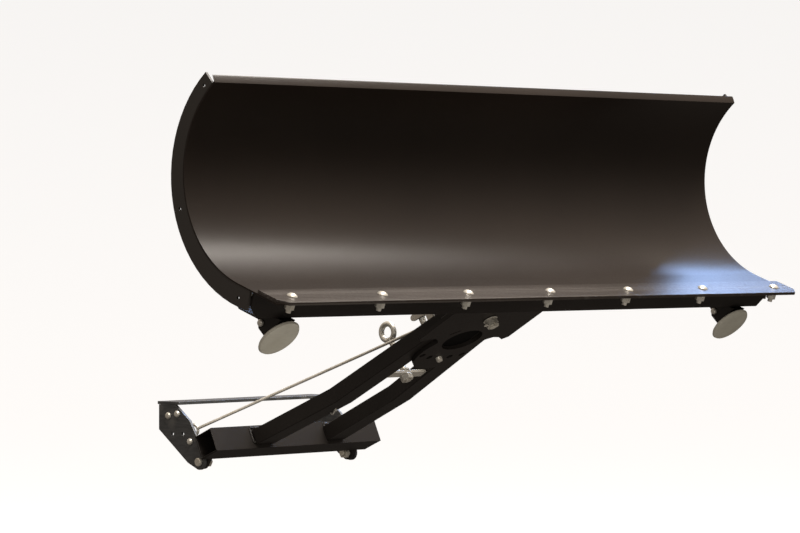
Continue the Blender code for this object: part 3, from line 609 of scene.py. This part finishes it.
def threads(name, start, direction, length, radius, body, look):
    """The raised thread on a bolt's free end: one ridge wound round it."""
    pitch = 0.0015
    turns = max(2, int(length / pitch))
    across = direction.orthogonal().normalized()
    other = direction.cross(across)
    shape = bmesh.new()
    path = []
    for i in range(turns * 14 + 1):
        turn = 2 * pi * i / 14
        at = length * i / (turns * 14)
        path.append(start + at * direction + radius * (cos(turn) * across + sin(turn) * other))
    sweep(shape, path, [pitch * 0.42] * len(path), 5)
    return finish_piece(name, shape, look, body)


def cable_clip():
    """A small bent strap and its screw under the left arm, a little above the cross tube."""
    along = TUBE_BACK
    bend = head_point(ARM_BEND, 0.0003)
    spot = bend + 0.040 * along + Vector((-(arm_middle(ARM_BEND + 0.040) - 0.014), 0, 0))
    shape = bmesh.new()
    down = -TUBE_UP
    path = [
        spot + along * a + down * d
        for a, d in (
            (-0.007, 0.0010),
            (-0.003, 0.0012),
            (0.0, 0.0040),
            (0.004, 0.0058),
            (0.008, 0.0040),
            (0.009, 0.0012),
        )
    ]
    sweep(shape, path, [0.0016] * len(path), 6)
    head = spot - along * 0.006
    sweep(shape, [head, head + down * 0.0032, head + down * 0.0040], [0.0034, 0.0034, 0.0022], 10)
    finish_piece("cable_clip", shape, ZINC, "push_frame")


frame_welds()
swivel_welds()
cable_clip()
lock_spring()
blade_welds()
trip_springs()
cotter_pins()
threads(
    "lifting_eye_thread",
    head_point(0.244, 0.0150),
    HEAD_UP,
    0.022,
    0.0060,
    "push_frame",
    ZINC,
)


# ---- stage, light and camera --------------------------------------------------------------------
def stage():
    """A pale floor that curves up into a back wall, well below the lowered blade."""
    ground = LIFT.z - 0.40
    shape = bmesh.new()
    side, back, height, turn = 16.0, 15.0, 14.0, 4.0
    profile = [Vector((0, -18, 0)), Vector((0, back - turn, 0))]
    profile += [
        Vector((0, back - turn + turn * sin(a), turn - turn * cos(a)))
        for a in (pi / 2 * i / 16 for i in range(1, 17))
    ]
    profile.append(Vector((0, back, height)))
    spin = Matrix.Rotation(VIEW_TURN, 4, "Z")
    rows = []
    for x in (-side * 1.6, side * 1.6):
        rows.append(
            [shape.verts.new(spin @ (p + Vector((x, 0, 0))) + Vector((0, 0, ground))) for p in profile]
        )
    for i in range(len(profile) - 1):
        shape.faces.new((rows[0][i], rows[1][i], rows[1][i + 1], rows[0][i + 1]))
    mesh = bpy.data.meshes.new("studio_floor")
    shape.to_mesh(mesh)
    shape.free()
    mesh.shade_smooth()
    floor = bpy.data.objects.new("studio_floor", mesh)
    SCENE.collection.objects.link(floor)
    look = bpy.data.materials.new("pale_floor")
    look.use_nodes = True
    shader = look.node_tree.nodes["Principled BSDF"]
    shader.inputs["Base Color"].default_value = (0.30, 0.30, 0.30, 1)
    shader.inputs["Roughness"].default_value = 0.9
    shader.inputs["Specular IOR Level"].default_value = 0.0
    shader.inputs["Emission Color"].default_value = (1, 1, 1, 1)
    shader.inputs["Emission Strength"].default_value = 0.78
    mesh.materials.append(look)
    floor.visible_diffuse = False
    floor.visible_glossy = False


def area(name, place, target, size, power, colour=(1, 1, 1)):
    """A rectangular area light aimed at a point."""
    data = bpy.data.lights.new(name, "AREA")
    data.shape = "RECTANGLE"
    data.size, data.size_y = size
    data.energy = power
    data.color = colour
    light = bpy.data.objects.new(name, data)
    SCENE.collection.objects.link(light)
    light.location = place
    light.rotation_euler = (Vector(target) - Vector(place)).to_track_quat("-Z", "Y").to_euler()
    return light


VIEW_POINT = Vector((-5.495, -5.423, 0.3427))
VIEW_TARGET = Vector((0.0, -0.42, 0.268))
VIEW_TURN = -radians(43.1)


def lights():
    """A sky that is bright above and dark below, a large light over the blade and a cool one beside it."""
    world = bpy.data.worlds.new("studio")
    SCENE.world = world
    world.use_nodes = True
    tree = world.node_tree
    background = tree.nodes["Background"]
    place = tree.nodes.new("ShaderNodeTexCoord")
    parts = tree.nodes.new("ShaderNodeSeparateXYZ")
    rise = tree.nodes.new("ShaderNodeMapRange")
    rise.inputs["From Min"].default_value = -0.30
    rise.inputs["From Max"].default_value = 0.90
    rise.inputs["To Min"].default_value = 0.10
    rise.inputs["To Max"].default_value = 0.85
    rise.interpolation_type = "SMOOTHSTEP"
    tree.links.new(place.outputs["Generated"], parts.inputs["Vector"])
    tree.links.new(parts.outputs["Z"], rise.inputs["Value"])
    tree.links.new(rise.outputs["Result"], background.inputs["Strength"])
    background.inputs["Color"].default_value = (1.0, 0.86, 0.74, 1)
    blade = Vector((0, -0.65, 0.3))
    area("top", blade + Vector((0.3, -0.62, 2.4)), blade, (3.4, 1.0), 225, (1.0, 0.93, 0.86))
    side_place = blade + Vector((2.4, 1.2, 1.6))
    area("back_right", side_place, blade + Vector((0.6, 0, 0)), (1.2, 0.8), 50, (0.34, 0.55, 1.0))
    low_place = Vector((-0.25, -1.08, -0.27))
    low = area("under", low_place, Vector((-0.15, -0.45, 0.15)), (2.2, 0.22), 5.0, (1.0, 0.93, 0.86))
    low.visible_camera = False
    low.visible_glossy = False
    area("front_fill", VIEW_POINT + Vector((-0.6, 0.4, 0.9)), blade, (1.6, 1.0), 40, (1.0, 0.95, 0.88))


def camera():
    """The photograph's view: from the front left, a little above the ground."""
    data = bpy.data.cameras.new("camera")
    data.lens = 172
    data.sensor_width = 36
    data.clip_end = 100
    view = bpy.data.objects.new("camera", data)
    SCENE.collection.objects.link(view)
    view.location = VIEW_POINT
    view.rotation_euler = (VIEW_TARGET - VIEW_POINT).to_track_quat("-Z", "Y").to_euler()
    SCENE.camera = view


stage()
lights()
camera()
SCENE.view_settings.view_transform = "Standard"
